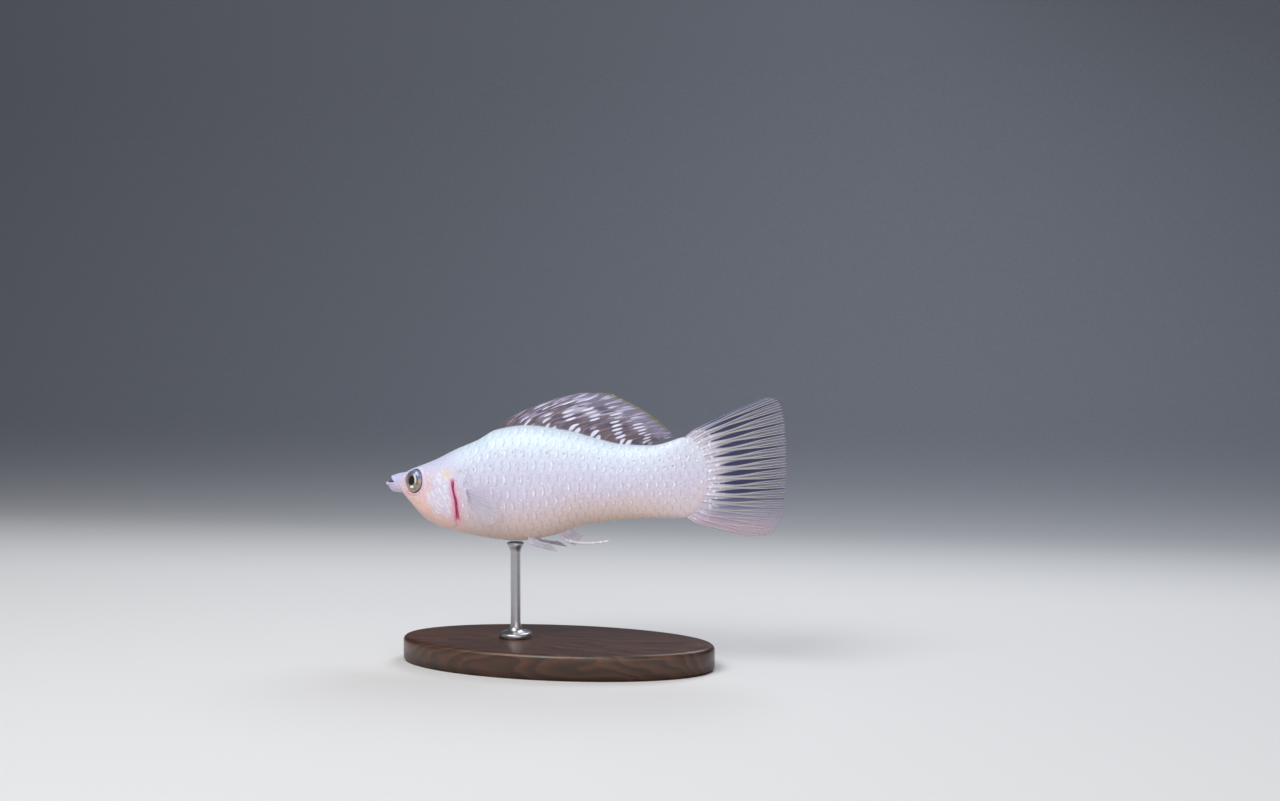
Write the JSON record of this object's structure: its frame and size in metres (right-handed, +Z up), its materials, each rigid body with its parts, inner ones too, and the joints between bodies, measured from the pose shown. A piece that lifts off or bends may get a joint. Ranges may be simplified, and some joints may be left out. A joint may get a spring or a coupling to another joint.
{
  "type": "sailfin molly model on a display stand",
  "caption": "Life-size still model of a pale male sailfin molly, sail laid back and mouth slightly open, held on a rod over a dark wooden base.",
  "frame": {"origin": "middle of the model's bounding box, on the floor under the stand's base", "axes": "+Z up; the fish faces -X and its tail is towards +X; its left side faces -Y"},
  "size_m": [0.1, 0.038, 0.0661],
  "materials": {
    "skin": "pale silvery white skin with scales, as if wet",
    "gill_cover": "pale silver with a bluish sheen",
    "gill": "moist red",
    "eye": "polished, black pupil in a silver ring",
    "clear_fin": "smoky clear web between pale rays",
    "sail": "dark smoky web with pale rays and rows of white spots",
    "wood": "dark wood, satin varnish",
    "rod_metal": "satin steel"
  },
  "bodies": {
    "root": {"head": "skin", "lower_jaw": "skin", "eye_left": "eye", "eye_right": "eye", "gill_cover_left": "gill_cover", "gill_cover_right": "gill_cover", "gills_left": "gill", "gills_right": "gill", "trunk": "skin", "tail_stem": "skin", "dorsal_fin": "sail", "caudal_fin": "clear_fin", "anal_fin": "clear_fin", "pectoral_fin_left": "clear_fin", "pectoral_fin_right": "clear_fin", "pelvic_fin_left": "clear_fin", "pelvic_fin_right": "clear_fin", "stand_base": "wood", "stand_rod": "rod_metal"}
  },
  "joints": []
}
